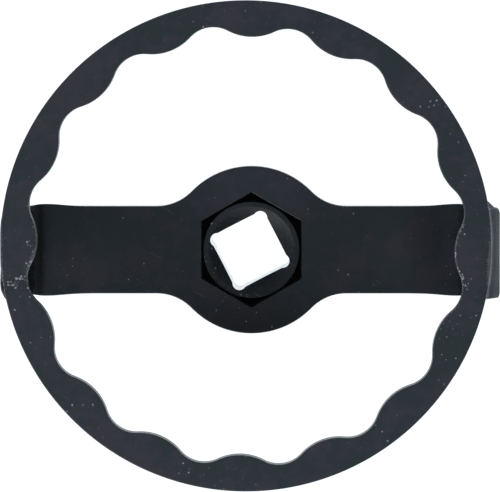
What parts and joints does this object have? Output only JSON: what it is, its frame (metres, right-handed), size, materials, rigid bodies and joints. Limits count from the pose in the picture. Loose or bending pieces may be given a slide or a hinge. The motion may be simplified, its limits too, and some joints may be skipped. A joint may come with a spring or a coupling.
{
  "type": "oil filter wrench",
  "caption": "Ring-type oil filter wrench: a flat scalloped ring welded to a U-shaped bar with a round hub, and a hexagonal boss with a square drive hole.",
  "frame": {"origin": "middle of the footprint's bounding box, on the ground under the free end of the drive hexagon", "axes": "+Z is the turning axis, from the drive end up to the scalloped ring; +X runs along the bridge strap, from leg to leg, and Y is across it"},
  "size_m": [0.1053, 0.1032, 0.045],
  "materials": {
    "ring_black": "satin black coating",
    "strap_black": "satin black coating",
    "drive_black": "satin black coating",
    "weld_black": "satin black coating over rippled weld metal"
  },
  "bodies": {
    "root": {"filter_ring": "ring_black", "bridge_strap": "strap_black", "drive_hex": "drive_black", "drive_weld": "weld_black", "outer_weld_right": "weld_black", "outer_weld_left": "weld_black", "inner_weld_right": "weld_black", "inner_weld_left": "weld_black"}
  },
  "joints": []
}
